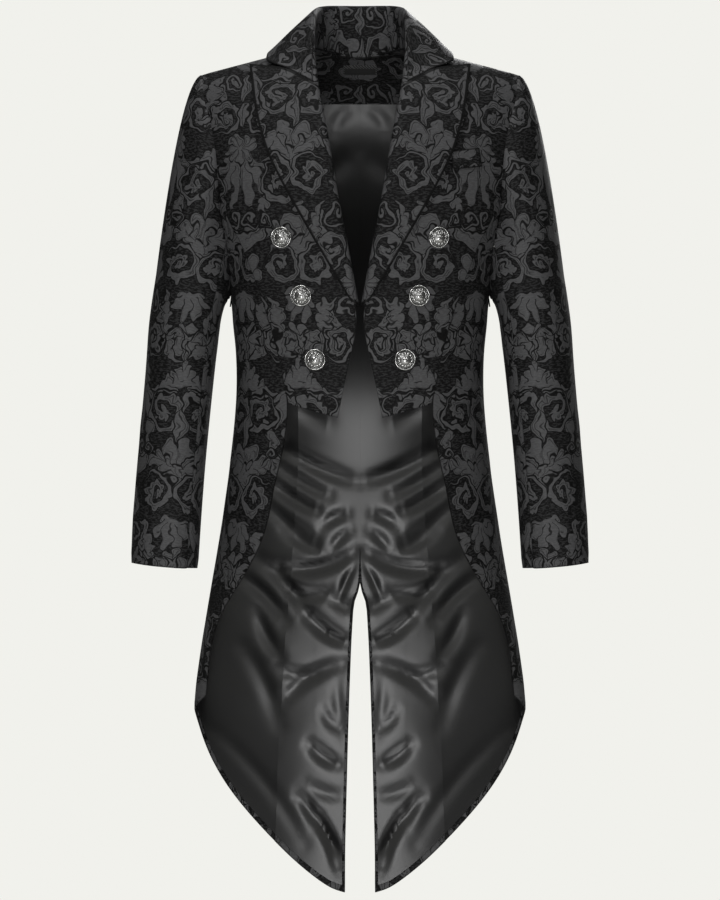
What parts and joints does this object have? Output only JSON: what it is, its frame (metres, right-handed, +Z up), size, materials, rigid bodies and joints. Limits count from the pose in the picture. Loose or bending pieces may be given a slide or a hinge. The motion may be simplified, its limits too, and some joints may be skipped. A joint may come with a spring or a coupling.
{
  "type": "tailcoat",
  "caption": "Double-breasted tailcoat in black brocade, worn shape, with a high rolled collar, peak lapels, domed metal buttons and two long satin-lined tails.",
  "frame": {"origin": "midway between the two neck points, at the shoulder seams' inner ends, where the shoulders carry the coat", "axes": "+Z up the coat, the front faces -Y, +X to the wearer's left"},
  "size_m": [0.5956, 0.2764, 1.1561],
  "materials": {
    "black_brocade": "black on black brocade, woven leaf and scroll pattern",
    "black_satin": "glossy black satin",
    "aged_silver": "aged silver, raised relief",
    "label_weave": "plain woven label, bare"
  },
  "bodies": {
    "root": {"back_left": "black_brocade", "back_neck_facing": "black_brocade", "back_right": "black_brocade", "breast_welt": "black_brocade", "button_1_left": "aged_silver", "button_1_right": "aged_silver", "button_2_left": "aged_silver", "button_2_right": "aged_silver", "button_3_left": "aged_silver", "button_3_right": "aged_silver", "collar": "black_brocade", "front_left": "black_brocade", "front_right": "black_brocade", "lapel_left": "black_brocade", "lapel_right": "black_brocade", "lining_back_left": "black_satin", "lining_back_right": "black_satin", "lining_side_left": "black_satin", "lining_side_right": "black_satin", "neck_label": "label_weave", "side_left": "black_brocade", "side_right": "black_brocade", "top_sleeve_left": "black_brocade", "top_sleeve_right": "black_brocade", "under_sleeve_left": "black_brocade", "under_sleeve_right": "black_brocade"}
  },
  "joints": []
}
